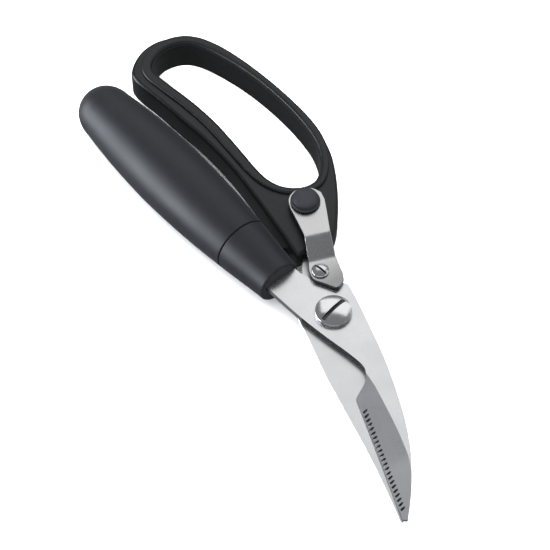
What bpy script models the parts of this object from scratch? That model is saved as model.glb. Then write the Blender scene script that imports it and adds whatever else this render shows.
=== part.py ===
"""Poultry shears with a barrel grip, a loop handle, a screw pivot and a swinging catch.

All sizes are in millimetres and are turned into metres when a mesh is made. The shapes are drawn
about the pivot axis, with z = 0 in the shear plane between the two blades. +X runs to the blade
tips, +Y to the loop handle, +Z to the side of the front blade. The whole assembly is then lifted
so that the origin is the centre of the pivot nut's flat outer face.
"""
import math

import bmesh
import bpy
from mathutils import Matrix, Vector

MM = 0.001
GAP = 0.3                          # between pieces that rest on each other

# Blades
BLADE_THICKNESS = 2.6
SHEAR_GAP = 0.15                   # from the shear plane to each blade
TIP_X = 88.3
HEEL = (35.5, -14.5)               # the near end of the front cutting edge
EDGE_END = (87.2, -30.7)
FRONT_SLOPE = 0.235                # height per width of the front blade's ground face
REAR_SLOPE = 0.27                  # and of the rear blade's
REAR_HEEL = (33.0, -5.2)
REAR_TIP = (88.2, -31.0)
REAR_EDGE = 0.4                    # thickness left at the rear cutting edge
SERRATION_COUNT = 23
SERRATION_PITCH = 1.97
SERRATION_START = 6.5              # from the heel
SERRATION_INSET = 1.6              # from the edge
SERRATION_SIZE = (0.85, 1.9, 1.2)  # along the edge, across it and up
SERRATION_HEIGHT = 1.25            # of each block's centre
SERRATION_LEAN = 27                # degrees, towards the heel
MOULDING_KEYS = ((-36.5, 12.4), (-44.0, 13.8))   # holes that the loop's plastic fills
MOULDING_KEY_RADIUS = 2.0

# Pivot
NUT_SLEEVE_RADIUS = 3.4
NUT_FLANGE_RADIUS = 7.0
NUT_FLANGE_THICKNESS = 1.4
PIVOT_SHANK_RADIUS = 2.1
PIVOT_HEAD_RADIUS = 7.15
PIVOT_HEAD_RIM = 0.7               # the straight part of its head
PIVOT_HEAD_RISE = 1.5              # and the dome above it
PIVOT_SLOT = (20.0, 1.6, 2.0)      # length, width and height of what cuts the slot
PIVOT_SLOT_DEPTH = 1.2
PIVOT_SLOT_TURN = math.radians(104)
WASHER_THICKNESS = 0.4
SPRING_WASHER_RADIUS = 6.2

# Barrel grip: distances run from its front face to its butt
BARREL_FRONT = (-25.0, -7.9)
BARREL_ANGLE = math.radians(5.75)
BARREL_LENGTH = 123.0
BUTT_START = 110.0                 # where the round butt begins
FERRULE_LENGTH = 23.4
SEAM_GAP = 0.5
SPIGOT_LENGTH = 4.6                # of the ferrule, inside the sleeve
CORE_RADIUS = 8.0
CORE_END = 103.0
TANG_HALF_WIDTH = 4.2
TANG_END = 80.0
TANG_PIN_PLACES = (42.0, 66.0)
TANG_PIN_RADIUS = 1.5
TANG_PIN_HALF_LENGTH = 7.2

# Loop handle
WEB_BACK, WEB_FRONT = -7.3, 5.5    # the flat web's and the neck's two faces
LIP_BACK, LIP_FRONT = -8.6, 6.8    # the faces of the lip round the finger opening
LIP_WIDTH = 4.2
LIP_CHAMFER = 0.7
EDGE_CHAMFER = 1.3
NECK_END_X = -27.3
NOSE_BACK, NOSE_FRONT = -4.6, 3.4  # the neck's faces at its end
NOSE_START_X = -40.0

# Catch
CATCH_PIVOT = (-17.8, 6.2)
CATCH_CLEARANCE = 0.45             # between the front blade and the lever's foot
CATCH_THICKNESS = 1.6
CATCH_RISE = 4.0
CATCH_BEND_START = 5.3             # distances from the catch pivot along the lever
CATCH_BEND_END = 14.6
CATCH_BEND_TURN = math.radians(18.5)
CATCH_NOTCH_RADIUS = 4.6
CATCH_SHANK_RADIUS = 1.5
CATCH_BUSH_RADIUS = 3.3
CATCH_HEAD_RADIUS = 3.4
CATCH_HEAD_RIM = 0.5
CATCH_HEAD_RISE = 1.1
CATCH_SLOT = (10.0, 0.9, 1.6)
CATCH_SLOT_DEPTH = 0.9
CATCH_SLOT_TURN = math.radians(14)
CATCH_WASHER_THICKNESS = 0.3
KNOB_CENTRE = (-46.4, 18.9)
KNOB_RADIUS = 6.0
KNOB_HEIGHT = 3.7
STUD_HEAD_RADIUS = 3.0
STUD_HEAD_THICKNESS = 0.7
STUD_REACH = 2.1                   # up into the knob

# Opening spring, hidden between the two handles
SPRING_CENTRE = (-38.0, -4.2)      # x and z
SPRING_LOW_Y = -2.6
SPRING_HIGH_Y = 6.0
SPRING_RADIUS = 1.4
SPRING_WIRE = 0.4
SPRING_TURNS = 5
SPRING_CLEARANCE = 0.4             # round the coil in its pocket

# Heights above the shear plane, built up piece by piece
FRONT_TOP = SHEAR_GAP + BLADE_THICKNESS
REAR_BOTTOM = -FRONT_TOP
SPRING_WASHER_TOP = REAR_BOTTOM - GAP
NUT_FLANGE_TOP = SPRING_WASHER_TOP - WASHER_THICKNESS - GAP
NUT_FACE = NUT_FLANGE_TOP - NUT_FLANGE_THICKNESS
PIVOT_WASHER_LOW = FRONT_TOP + GAP
PIVOT_HEAD_LOW = PIVOT_WASHER_LOW + WASHER_THICKNESS + GAP
CATCH_FOOT_LOW = FRONT_TOP + CATCH_CLEARANCE
CATCH_FOOT_TOP = CATCH_FOOT_LOW + CATCH_THICKNESS
CATCH_ARM_TOP = CATCH_FOOT_TOP + CATCH_RISE

FINISHES = {
    "satin_steel": ((0.62, 0.63, 0.64, 1), 0.30, 1.0),
    "polished_steel": ((0.70, 0.70, 0.71, 1), 0.14, 1.0),
    "spring_steel": ((0.45, 0.45, 0.47, 1), 0.35, 1.0),
    "grip_rubber": ((0.035, 0.037, 0.042, 1), 0.62, 0.0),
    "core_nylon": ((0.05, 0.05, 0.055, 1), 0.50, 0.0),
    "handle_plastic": ((0.022, 0.023, 0.024, 1), 0.42, 0.0),
    "knob_plastic": ((0.014, 0.014, 0.016, 1), 0.38, 0.0),
}


# ---------------------------------------------------------------- outlines

def arc(centre, radius, start, end, steps):
    """Points on an arc, angles in degrees."""
    angles = [math.radians(start + (end - start) * i / steps) for i in range(steps + 1)]
    return [(centre[0] + radius * math.cos(a), centre[1] + radius * math.sin(a)) for a in angles]


def smooth(points, steps, closed=False):
    """A Catmull-Rom curve through the points, with a number of steps between neighbours."""
    count = len(points)
    spans = count if closed else count - 1
    curve = []
    for i in range(spans):
        if closed:
            a, b, c, d = (Vector(points[(i + k) % count]) for k in (-1, 0, 1, 2))
        else:
            a, b, c, d = (Vector(points[min(max(i + k, 0), count - 1)]) for k in (-1, 0, 1, 2))
        for k in range(steps):
            t = k / steps
            p = 2 * b + (c - a) * t + (2 * a - 5 * b + 4 * c - d) * t ** 2
            curve.append(tuple((p + (3 * b - a - 3 * c + d) * t ** 3) / 2))
    if not closed:
        curve.append(tuple(points[-1]))
    return curve


def offset(outline, distance):
    """Moves a counter-clockwise outline outwards by a distance."""
    moved = []
    for i, point in enumerate(outline):
        here = Vector(point)
        before = (here - Vector(outline[i - 1])).normalized()
        after = (Vector(outline[(i + 1) % len(outline)]) - here).normalized()
        normal = Vector((before.y + after.y, -before.x - after.x)).normalized()
        reach = distance / max(normal.dot(Vector((before.y, -before.x))), 0.5)
        moved.append(tuple(here + normal * reach))
    return moved


def barrel_point(along, across):
    """A point of the shear plane in the barrel's own directions."""
    cos, sin = math.cos(BARREL_ANGLE), math.sin(BARREL_ANGLE)
    return (BARREL_FRONT[0] - along * cos - across * sin,
            BARREL_FRONT[1] - along * sin + across * cos)


def barrel_radius(along):
    """The barrel's fat cigar shape between its front face and the start of its round butt."""
    stations = ((0, 9.3), (23, 11.9), (46, 13.9), (70, 14.6), (92, 13.7), (110, 11.9))
    for (a, ra), (b, rb) in zip(stations, stations[1:]):
        if along <= b:
            break
    before = ((0, 8.4),) + stations
    after = stations + ((128, 9.6),)
    i = stations.index((a, ra))
    p = (before[i][1], ra, rb, after[i + 2][1])
    t = (along - a) / (b - a)
    curve = 2 * p[1] + (p[2] - p[0]) * t + (2 * p[0] - 5 * p[1] + 4 * p[2] - p[3]) * t ** 2
    return (curve + (3 * p[1] - p[0] - 3 * p[2] + p[3]) * t ** 3) / 2


# ---------------------------------------------------------------- objects

def clear_scene():
    for obj in list(bpy.data.objects):
        bpy.data.objects.remove(obj, do_unlink=True)


def finish_material(name):
    material = bpy.data.materials.get(name)
    if material is None:
        colour, roughness, metallic = FINISHES[name]
        material = bpy.data.materials.new(name)
        material.use_nodes = True
        shader = material.node_tree.nodes["Principled BSDF"]
        shader.inputs["Base Color"].default_value = colour
        shader.inputs["Roughness"].default_value = roughness
        shader.inputs["Metallic"].default_value = metallic
    return material


def make_object(name, bm, finish=None, place=(0, 0, 0)):
    """Turns a bmesh drawn in millimetres into an object; without a finish it is a cutter."""
    bmesh.ops.scale(bm, verts=bm.verts, vec=(MM, MM, MM))
    bmesh.ops.recalc_face_normals(bm, faces=bm.faces)
    mesh = bpy.data.meshes.new(name)
    bm.to_mesh(mesh)
    bm.free()
    obj = bpy.data.objects.new(name, mesh)
    bpy.context.scene.collection.objects.link(obj)
    obj.location = Vector(place) * MM
    if finish:
        mesh.materials.append(finish_material(finish))
    else:
        obj.hide_render = True
        obj.display_type = "WIRE"
    return obj


def round_off(obj, angle=35):
    obj.data.shade_smooth()
    obj.data.set_sharp_from_angle(angle=math.radians(angle))
    return obj


def prism(outline, low, high):
    """An outline extruded between two heights."""
    bm = bmesh.new()
    floor = bm.faces.new([bm.verts.new((x, y, low)) for x, y in outline])
    top = bmesh.ops.extrude_face_region(bm, geom=[floor])["geom"]
    lifted = [v for v in top if isinstance(v, bmesh.types.BMVert)]
    bmesh.ops.translate(bm, verts=lifted, vec=(0, 0, high - low))
    return bm


def chamfered_prism(outline, low, high, chamfer):
    """An outline extruded between two heights, with both of its rims chamfered."""
    inner = offset(outline, -chamfer)
    levels = ((inner, low), (outline, low + chamfer), (outline, high - chamfer), (inner, high))
    bm = bmesh.new()
    rings = [[bm.verts.new((x, y, z)) for x, y in points] for points, z in levels]
    bm.faces.new(rings[0])
    bm.faces.new(rings[-1])
    count = len(outline)
    for low, high in zip(rings, rings[1:]):
        for i in range(count):
            j = (i + 1) % count
            bm.faces.new((low[i], low[j], high[j], high[i]))
    return bm


def turned(profile, segments):
    """A profile of (radius, height) pairs turned round Z; it is closed on the axis or on itself."""
    bm = bmesh.new()
    closed_on_axis = profile[0][0] == 0
    rings = []
    for radius, height in profile:
        if radius == 0:
            rings.append([bm.verts.new((0, 0, height))])
            continue
        turn = [2 * math.pi * i / segments for i in range(segments)]
        rings.append([bm.verts.new((radius * math.cos(a), radius * math.sin(a), height)) for a in turn])
    pairs = list(zip(rings, rings[1:]))
    if not closed_on_axis:
        pairs.append((rings[-1], rings[0]))
    for low, high in pairs:
        for i in range(segments):
            j = (i + 1) % segments
            corners = [low[i % len(low)], low[j % len(low)], high[j % len(high)], high[i % len(high)]]
            bm.faces.new(list(dict.fromkeys(corners)))
    return bm


def disc(radius, low, high, segments=32):
    return turned([(0, low), (radius, low), (radius, high), (0, high)], segments)


def washer(inner, outer, low, high, segments=32):
    return turned([(inner, low), (outer, low), (outer, high), (inner, high)], segments)


def dome(radius, low, rim, rise, steps=4):
    """The profile of a low round head: a straight rim and a dome above it."""
    ball = (radius ** 2 + rise ** 2) / (2 * rise)
    top = low + rim + rise
    profile = [(0, low), (radius, low)]
    for i in range(steps):
        r = radius * (1 - i / steps)
        profile.append((r, top - ball + math.sqrt(ball ** 2 - r ** 2)))
    return profile + [(0, top)]


def block(size, centre, turn=0.0):
    """A box of a size about a centre, turned round Z by an angle."""
    bm = bmesh.new()
    bmesh.ops.create_cube(bm, size=1)
    bmesh.ops.scale(bm, verts=bm.verts, vec=size)
    cos, sin = math.cos(turn), math.sin(turn)
    for v in bm.verts:
        x, y, z = v.co
        v.co = (centre[0] + x * cos - y * sin, centre[1] + x * sin + y * cos, centre[2] + z)
    return bm


def cut(obj, *cutters):
    """Cuts an object by other objects, which then move with it."""
    for cutter in cutters:
        combine(obj, cutter, "DIFFERENCE")


def combine(obj, other, operation):
    modifier = obj.modifiers.new(operation.title(), "BOOLEAN")
    modifier.operation = operation
    modifier.solver = "EXACT"
    modifier.object = other
    other.hide_render = True
    other.display_type = "WIRE"
    other.parent = obj
    other.matrix_parent_inverse = obj.matrix_basis.inverted()


def shave(bm, point, normal):
    """Cuts off what lies on the normal's side of a plane and closes the cut."""
    geometry = bm.verts[:] + bm.edges[:] + bm.faces[:]
    result = bmesh.ops.bisect_plane(bm, geom=geometry, plane_co=point, plane_no=normal, clear_outer=True)
    rim = [e for e in result["geom_cut"] if isinstance(e, bmesh.types.BMEdge)]
    bmesh.ops.edgenet_fill(bm, edges=rim)


def make_holder(name, place, parent=None):
    """An empty that one side of the shears hangs on."""
    holder = bpy.data.objects.new(name, None)
    bpy.context.scene.collection.objects.link(holder)
    holder.location = Vector(place) * MM
    holder.parent = parent
    return holder


def hang(holder, *objects):
    """Parents objects to an unrotated holder and keeps them where they were drawn."""
    for obj in objects:
        obj.parent = holder
        obj.matrix_parent_inverse = Matrix.Translation(-holder.location)


# ---------------------------------------------------------------- blades

def front_outline():
    """The front blade with its tang, counter-clockwise from the tail of the tang."""
    tang = [barrel_point(TANG_END, -TANG_HALF_WIDTH), barrel_point(10, -TANG_HALF_WIDTH),
            barrel_point(6, -6.2)]
    lower = smooth([(-25.0, -14.5), (-16.8, -13.4), (-5.0, -11.5), (6.8, -8.9), (18.5, -5.9),
                    (26.5, -4.7), (31.0, -6.9), (32.9, -9.3), (34.2, -12.0), HEEL], 3)
    spine = smooth([(TIP_X, -29.4), (82.0, -23.5), (75.5, -18.3), (65.8, -11.6), (54.4, -5.7),
                    (41.9, -0.7), (28.7, 3.8), (14.7, 7.5), (0.3, 11.0), (-8.2, 12.5)], 3)
    notch = arc(CATCH_PIVOT, CATCH_NOTCH_RADIUS, 8, -100, 8)
    shoulder = [(-22.9, 0.0), (-27.0, -0.6), barrel_point(6, 6.4), barrel_point(10, TANG_HALF_WIDTH),
                barrel_point(TANG_END, TANG_HALF_WIDTH)]
    return tang + lower + [EDGE_END] + spine + notch + shoulder


def rear_outline():
    """The rear blade with its tang, counter-clockwise from the tail of the tang."""
    tang = [(-49.0, 8.4), (-31.0, 6.9), (-28.2, 5.0), (-24.2, 2.2)]
    boss = smooth([(-19.0, -2.2), (-13.5, -7.6), (-7.0, -11.4), (1.9, -13.4)], 3)
    spine = smooth([(20.6, -17.9), (39.8, -21.3), (58.4, -24.6), (76.0, -28.6), (86.2, -31.3)], 2)
    top = smooth([(30.0, -3.0), (21.0, 1.8), (12.0, 6.2), (2.0, 9.6), (-8.0, 10.8), (-17.0, 13.9),
                  (-27.5, 16.2), (-35.0, 18.4)], 3)
    return tang + boss + spine + [REAR_TIP, REAR_HEEL] + top + [(-49.0, 19.2)]


def grinding_wedge(name, start, end, height, slope):
    """What grinds the back of a plate to a plane that has a depth along a line from start to end.

    The plane's depth changes by the slope to the line's right.
    """
    line = Vector((end[0] - start[0], end[1] - start[1], 0))
    along = line.normalized()
    across = Vector((along.y, -along.x, 0))
    corners = []
    for run in (-3.0, line.length + 20.0):
        for width in (-4.0, 12.0):
            base = Vector((start[0], start[1], 0)) + along * run + across * width
            face = height + slope * width
            corners.append((base.x, base.y, -face))
            corners.append((base.x, base.y, -face - 8))
    bm = bmesh.new()
    bmesh.ops.convex_hull(bm, input=[bm.verts.new(corner) for corner in corners])
    return make_object(name, bm)


def curved_grinding(name, upper, start, end, slope):
    """What grinds the front of a plate down by a slope from an upper line towards its edge."""
    edge = Vector((end[0] - start[0], end[1] - start[1])).normalized()
    sections = []
    for point in upper:
        high = Vector((*point, FRONT_TOP))
        foot = Vector(start) + edge * (Vector(point) - Vector(start)).dot(edge)
        low = Vector((*foot, FRONT_TOP - slope * (Vector(point) - foot).length))
        fall = (low - high).normalized()
        near, far = high - fall * 2, low + fall * 3
        lift = Vector((0, 0, 8))
        sections.append((near, high, low, far, far + lift, near + lift))
    bm = bmesh.new()
    rings = [[bm.verts.new(corner) for corner in section] for section in sections]
    bm.faces.new(rings[0])
    bm.faces.new(rings[-1])
    for near_ring, far_ring in zip(rings, rings[1:]):
        for i in range(len(near_ring)):
            bm.faces.new((near_ring[i - 1], near_ring[i], far_ring[i], far_ring[i - 1]))
    return make_object(name, bm)


def serration_cutter():
    """A row of small blocks that notch the front blade's ground face beside its edge."""
    edge = Vector((EDGE_END[0] - HEEL[0], EDGE_END[1] - HEEL[1], 0)).normalized()
    inwards = Vector((-edge.y, edge.x, 0))
    turn = math.atan2(edge.y, edge.x) + math.radians(SERRATION_LEAN)
    bm = bmesh.new()
    for i in range(SERRATION_COUNT):
        run = SERRATION_START + SERRATION_PITCH * i
        place = Vector((*HEEL, 0)) + edge * run + inwards * SERRATION_INSET
        box = bmesh.ops.create_cube(bm, size=1)["verts"]
        bmesh.ops.scale(bm, verts=box, vec=SERRATION_SIZE)
        bmesh.ops.rotate(bm, verts=box, matrix=Matrix.Rotation(turn, 3, "Z"))
        bmesh.ops.translate(bm, verts=box, vec=(place.x, place.y, SERRATION_HEIGHT))
    return make_object("serration_cutter", bm)


def make_front_blade():
    blade = make_object("front_blade", prism(front_outline(), SHEAR_GAP, FRONT_TOP), "satin_steel")
    upper = smooth([(26.0, -5.4), (34.5, -6.1), (40.3, -7.1), (46.6, -8.4), (53.0, -9.8), (60.0, -11.6),
                    (67.4, -13.9), (73.0, -16.6), (80.0, -20.2), (94.0, -27.6)], 2)
    cut(blade, curved_grinding("front_grinding", upper, HEEL, EDGE_END, FRONT_SLOPE),
        serration_cutter(),
        make_object("pivot_hole", disc(NUT_SLEEVE_RADIUS + GAP, -1, 5)))
    for along in TANG_PIN_PLACES:
        hole = disc(TANG_PIN_RADIUS + GAP, -1, 5, 16)
        cut(blade, make_object("tang_pin_hole", hole, place=(*barrel_point(along, 0), 0)))
    return blade


def make_rear_blade():
    blade = make_object("rear_blade", prism(rear_outline(), REAR_BOTTOM, -SHEAR_GAP), "satin_steel")
    cut(blade, grinding_wedge("rear_grinding", REAR_HEEL, REAR_TIP, SHEAR_GAP + REAR_EDGE,
                              REAR_SLOPE),
        make_object("pivot_hole", disc(NUT_SLEEVE_RADIUS + GAP, -5, 1)),
        make_object("catch_hole", disc(CATCH_SHANK_RADIUS + GAP, -5, 1, 20), place=(*CATCH_PIVOT, 0)))
    for place in MOULDING_KEYS:
        cut(blade, make_object("moulding_key", disc(MOULDING_KEY_RADIUS, -5, 1, 16), place=(*place, 0)))
    return blade


# ---------------------------------------------------------------- pivot

def make_pivot():
    sleeve_top = PIVOT_HEAD_LOW - GAP
    bore = PIVOT_SHANK_RADIUS + GAP
    nut = turned([(0, NUT_FACE), (NUT_FLANGE_RADIUS, NUT_FACE), (NUT_FLANGE_RADIUS, NUT_FLANGE_TOP),
                  (NUT_SLEEVE_RADIUS, NUT_FLANGE_TOP), (NUT_SLEEVE_RADIUS, sleeve_top),
                  (bore, sleeve_top), (bore, NUT_FLANGE_TOP), (0, NUT_FLANGE_TOP)], 40)
    shank = [(0, NUT_FLANGE_TOP + GAP), (PIVOT_SHANK_RADIUS, NUT_FLANGE_TOP + GAP),
             (PIVOT_SHANK_RADIUS, PIVOT_HEAD_LOW)]
    head = dome(PIVOT_HEAD_RADIUS, PIVOT_HEAD_LOW, PIVOT_HEAD_RIM, PIVOT_HEAD_RISE)[1:]
    screw = round_off(make_object("pivot_screw", turned(shank + head, 48), "polished_steel"))
    slot_middle = PIVOT_HEAD_LOW + PIVOT_HEAD_RIM + PIVOT_HEAD_RISE - PIVOT_SLOT_DEPTH + PIVOT_SLOT[2] / 2
    slot = block(PIVOT_SLOT, (0, 0, slot_middle), PIVOT_SLOT_TURN)
    cut(screw, make_object("pivot_slot", slot))
    ring = NUT_SLEEVE_RADIUS + GAP
    return [
        screw,
        round_off(make_object("pivot_nut", nut, "satin_steel")),
        round_off(make_object("pivot_washer", washer(ring, PIVOT_HEAD_RADIUS - 0.25, PIVOT_WASHER_LOW,
                                                     PIVOT_WASHER_LOW + WASHER_THICKNESS), "satin_steel")),
        round_off(make_object("pivot_spring_washer", washer(ring, SPRING_WASHER_RADIUS,
                                                            SPRING_WASHER_TOP - WASHER_THICKNESS,
                                                            SPRING_WASHER_TOP), "spring_steel")),
    ]


# ---------------------------------------------------------------- barrel grip

def make_barrel_piece(name, profile, finish, segments=36):
    """A piece turned about the barrel's axis, its heights measured from the barrel's front face."""
    piece = round_off(make_object(name, turned(profile, segments), finish, (*BARREL_FRONT, 0)))
    piece.rotation_euler = (0, -math.pi / 2, BARREL_ANGLE)
    return piece


def tang_pocket(name, outline, low, high):
    return make_object(name, prism(offset(outline, GAP), low - GAP, high + GAP))


def make_barrel_grip():
    seam = FERRULE_LENGTH + SEAM_GAP
    bore = CORE_RADIUS + GAP
    spigot_end = FERRULE_LENGTH + SPIGOT_LENGTH
    ferrule = [(0, 0), (8.6, 0), (9.3, 0.7)]
    ferrule += [(barrel_radius(a), a) for a in (6, 12, 18, FERRULE_LENGTH - 0.4)]
    ferrule += [(barrel_radius(FERRULE_LENGTH) - 0.4, FERRULE_LENGTH), (CORE_RADIUS, FERRULE_LENGTH),
                (CORE_RADIUS, spigot_end), (0, spigot_end)]
    sleeve = [(0, CORE_END + GAP), (bore, CORE_END + GAP), (bore, seam),
              (barrel_radius(seam) - 0.4, seam), (barrel_radius(seam + 0.4), seam + 0.4)]
    sleeve += [(barrel_radius(a), a) for a in range(28, int(BUTT_START) + 1, 6)]
    butt_radius = barrel_radius(BUTT_START)
    for i in range(1, 9):
        turn = math.pi / 2 * i / 8
        radius = 0 if i == 8 else butt_radius * math.cos(turn) ** 0.85
        sleeve.append((radius, BUTT_START + (BARREL_LENGTH - BUTT_START) * math.sin(turn)))
    core = [(0, spigot_end + GAP), (CORE_RADIUS, spigot_end + GAP), (CORE_RADIUS, CORE_END), (0, CORE_END)]
    pieces = [make_barrel_piece("grip_ferrule", ferrule, "grip_rubber"),
              make_barrel_piece("grip_sleeve", sleeve, "grip_rubber"),
              make_barrel_piece("grip_core", core, "core_nylon", 24)]
    for piece in (pieces[0], pieces[2]):
        cut(piece, tang_pocket(piece.name + "_tang_pocket", front_outline(), SHEAR_GAP, FRONT_TOP))
    cut(pieces[0], spring_pocket("ferrule_spring_pocket"))
    for i, along in enumerate(TANG_PIN_PLACES, 1):
        place = (*barrel_point(along, 0), 0)
        cut(pieces[2], make_object("core_pin_hole", disc(TANG_PIN_RADIUS + GAP, -9, 9, 16), place=place))
        pin = disc(TANG_PIN_RADIUS, -TANG_PIN_HALF_LENGTH, TANG_PIN_HALF_LENGTH, 16)
        pieces.append(round_off(make_object(f"grip_pin_{i}", pin, "satin_steel", place)))
    return pieces


# ---------------------------------------------------------------- loop handle

def loop_outline():
    """The loop handle seen from the front, counter-clockwise from the neck's lower corner."""
    curve = smooth([(NECK_END_X - 0.5, 19.3), (-34.3, 26.2), (-46.5, 34.9), (-59.4, 42.0), (-70.2, 45.4),
                    (-82.0, 46.7), (-102.3, 45.2), (-125.8, 40.9), (-142.2, 35.1), (-150.3, 27.5),
                    (-154.0, 17.5), (-152.4, 7.8), (-146.4, -0.1), (-140.0, -1.9), (-126.0, 0.5),
                    (-112.3, 2.5), (-97.6, 4.7), (-79.0, 5.7), (-60.0, 5.0), (-45.0, 4.0),
                    (NECK_END_X - 2.2, 3.1)], 3)
    return curve + [(NECK_END_X - 1.9, 5.0), (NECK_END_X - 1.9, 12.0)]


def finger_opening():
    """The finger opening's outline, counter-clockwise."""
    return smooth([(-140.0, 7.2), (-130.0, 8.7), (-118.4, 11.2), (-104.0, 13.2), (-88.7, 13.7),
                   (-72.0, 13.7), (-64.2, 15.1), (-58.5, 18.7), (-55.0, 24.5), (-55.3, 30.6),
                   (-61.5, 36.6), (-72.0, 40.8), (-86.5, 41.9), (-104.0, 40.6), (-121.0, 37.2),
                   (-136.5, 31.7), (-144.5, 26.0), (-147.0, 18.0), (-145.0, 11.0)], 3, closed=True)


def make_loop_handle():
    body = chamfered_prism(loop_outline(), WEB_BACK, WEB_FRONT, EDGE_CHAMFER)
    for side, face, nose in ((-1, WEB_BACK, NOSE_BACK), (1, WEB_FRONT, NOSE_FRONT)):
        drop = side * (face - nose) / (NECK_END_X - NOSE_START_X)
        shave(body, (NOSE_START_X, 0, face), (drop, 0, side))
    handle = make_object("loop_handle", body, "handle_plastic")
    lip = chamfered_prism(offset(finger_opening(), LIP_WIDTH), LIP_BACK, LIP_FRONT, LIP_CHAMFER)
    combine(handle, make_object("opening_lip", lip), "UNION")
    cut(handle, make_object("opening_cut", prism(finger_opening(), -10, 10)),
        tang_pocket("loop_tang_pocket", rear_outline(), REAR_BOTTOM, -SHEAR_GAP),
        spring_pocket("neck_spring_pocket"))
    return handle


# ---------------------------------------------------------------- opening spring

def spring_pocket(name):
    """The round pocket along Y that both handles share for the spring."""
    radius = SPRING_RADIUS + SPRING_WIRE + SPRING_CLEARANCE
    bm = disc(radius, SPRING_LOW_Y - GAP, SPRING_HIGH_Y + GAP, 24)
    bmesh.ops.rotate(bm, verts=bm.verts, matrix=Matrix.Rotation(-math.pi / 2, 3, "X"))
    return make_object(name, bm, place=(SPRING_CENTRE[0], 0, SPRING_CENTRE[1]))


def make_opening_spring():
    curve = bpy.data.curves.new("opening_spring", "CURVE")
    curve.dimensions = "3D"
    curve.bevel_depth = SPRING_WIRE * MM
    curve.bevel_resolution = 1
    curve.use_fill_caps = True
    coil = curve.splines.new("POLY")
    steps = SPRING_TURNS * 14
    coil.points.add(steps)
    rise = SPRING_HIGH_Y - SPRING_LOW_Y - 2 * SPRING_WIRE
    for i, point in enumerate(coil.points):
        turn = 2 * math.pi * SPRING_TURNS * i / steps
        y = SPRING_LOW_Y + SPRING_WIRE + rise * i / steps
        x = SPRING_CENTRE[0] + SPRING_RADIUS * math.cos(turn)
        z = SPRING_CENTRE[1] + SPRING_RADIUS * math.sin(turn)
        point.co = (x * MM, y * MM, z * MM, 1)
    curve.materials.append(finish_material("spring_steel"))
    spring = bpy.data.objects.new("opening_spring", curve)
    bpy.context.scene.collection.objects.link(spring)
    return spring


# ---------------------------------------------------------------- catch

def lever_outline():
    """The catch lever laid flat, counter-clockwise from the foot's lower left."""
    foot = smooth([(-23.8, 4.8), (-20.0, 2.5), (-16.0, 1.9), (-12.0, 4.2), (-7.9, 6.7)], 3)
    toe = [(-7.7, 8.0), (-8.2, 9.4)]
    back = smooth([(-9.3, 11.5), (-12.1, 13.0), (-15.5, 14.0), (-20.5, 15.4)], 2)
    strap = [(-29.5, 19.1), (-39.3, 24.2), (-43.4, 26.2)]
    end = smooth([(-47.0, 27.0), (-50.6, 25.2), (-53.2, 21.4), (-53.1, 17.0), (-51.0, 13.9),
                  (-47.4, 12.2)], 2)
    return foot + toe + back + strap + end + [(-40.4, 10.8), (-32.9, 9.1)]


def make_catch_lever():
    bm = prism(lever_outline(), CATCH_FOOT_LOW, CATCH_FOOT_TOP)
    along = Vector((-math.cos(CATCH_BEND_TURN), math.sin(CATCH_BEND_TURN), 0))
    pivot = Vector((*CATCH_PIVOT, 0))
    slope = 1 / (CATCH_BEND_END - CATCH_BEND_START)
    bends = [(CATCH_BEND_START - 1, 0), (CATCH_BEND_START, slope / 4), (CATCH_BEND_START + 1, slope),
             (CATCH_BEND_END - 1, 1 - slope), (CATCH_BEND_END, 1 - slope / 4), (CATCH_BEND_END + 1, 1)]
    for distance, _ in bends:
        geometry = bm.verts[:] + bm.edges[:] + bm.faces[:]
        bmesh.ops.bisect_plane(bm, geom=geometry, plane_co=pivot + along * distance, plane_no=along)
    for v in bm.verts:
        distance = (v.co - pivot).dot(along)
        v.co.z += CATCH_RISE * climb(distance, bends)
    lever = make_object("catch_lever", bm, "satin_steel")
    for place in (CATCH_PIVOT, KNOB_CENTRE):
        cut(lever, make_object("lever_hole", disc(CATCH_SHANK_RADIUS + GAP, 0, 12, 20), place=(*place, 0)))
    return lever


def climb(distance, bends):
    """How far up its rise the lever is at a distance, with straight lines between the bends."""
    if distance <= bends[0][0]:
        return 0.0
    for (a, low), (b, high) in zip(bends, bends[1:]):
        if distance <= b:
            return low + (high - low) * (distance - a) / (b - a)
    return 1.0


def make_knob():
    low = CATCH_ARM_TOP + GAP
    socket = CATCH_SHANK_RADIUS + GAP
    profile = [(0, 2.4), (socket, 2.4), (socket, 0), (KNOB_RADIUS, 0), (KNOB_RADIUS, 0.8), (5.35, 1.15),
               (5.2, 2.3), (4.7, 3.1), (3.4, 3.55), (1.7, KNOB_HEIGHT - 0.02), (0, KNOB_HEIGHT)]
    knob = turned([(radius, low + height) for radius, height in profile], 40)
    arm_low = CATCH_ARM_TOP - CATCH_THICKNESS
    head_top = arm_low - GAP
    head_low = head_top - STUD_HEAD_THICKNESS
    stud_top = low + STUD_REACH
    stud = turned([(0, head_low), (STUD_HEAD_RADIUS, head_low), (STUD_HEAD_RADIUS, head_top),
                   (CATCH_SHANK_RADIUS, head_top), (CATCH_SHANK_RADIUS, stud_top), (0, stud_top)], 20)
    place = (*KNOB_CENTRE, 0)
    return [round_off(make_object("catch_knob", knob, "knob_plastic", place)),
            round_off(make_object("catch_knob_stud", stud, "satin_steel", place))]


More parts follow.
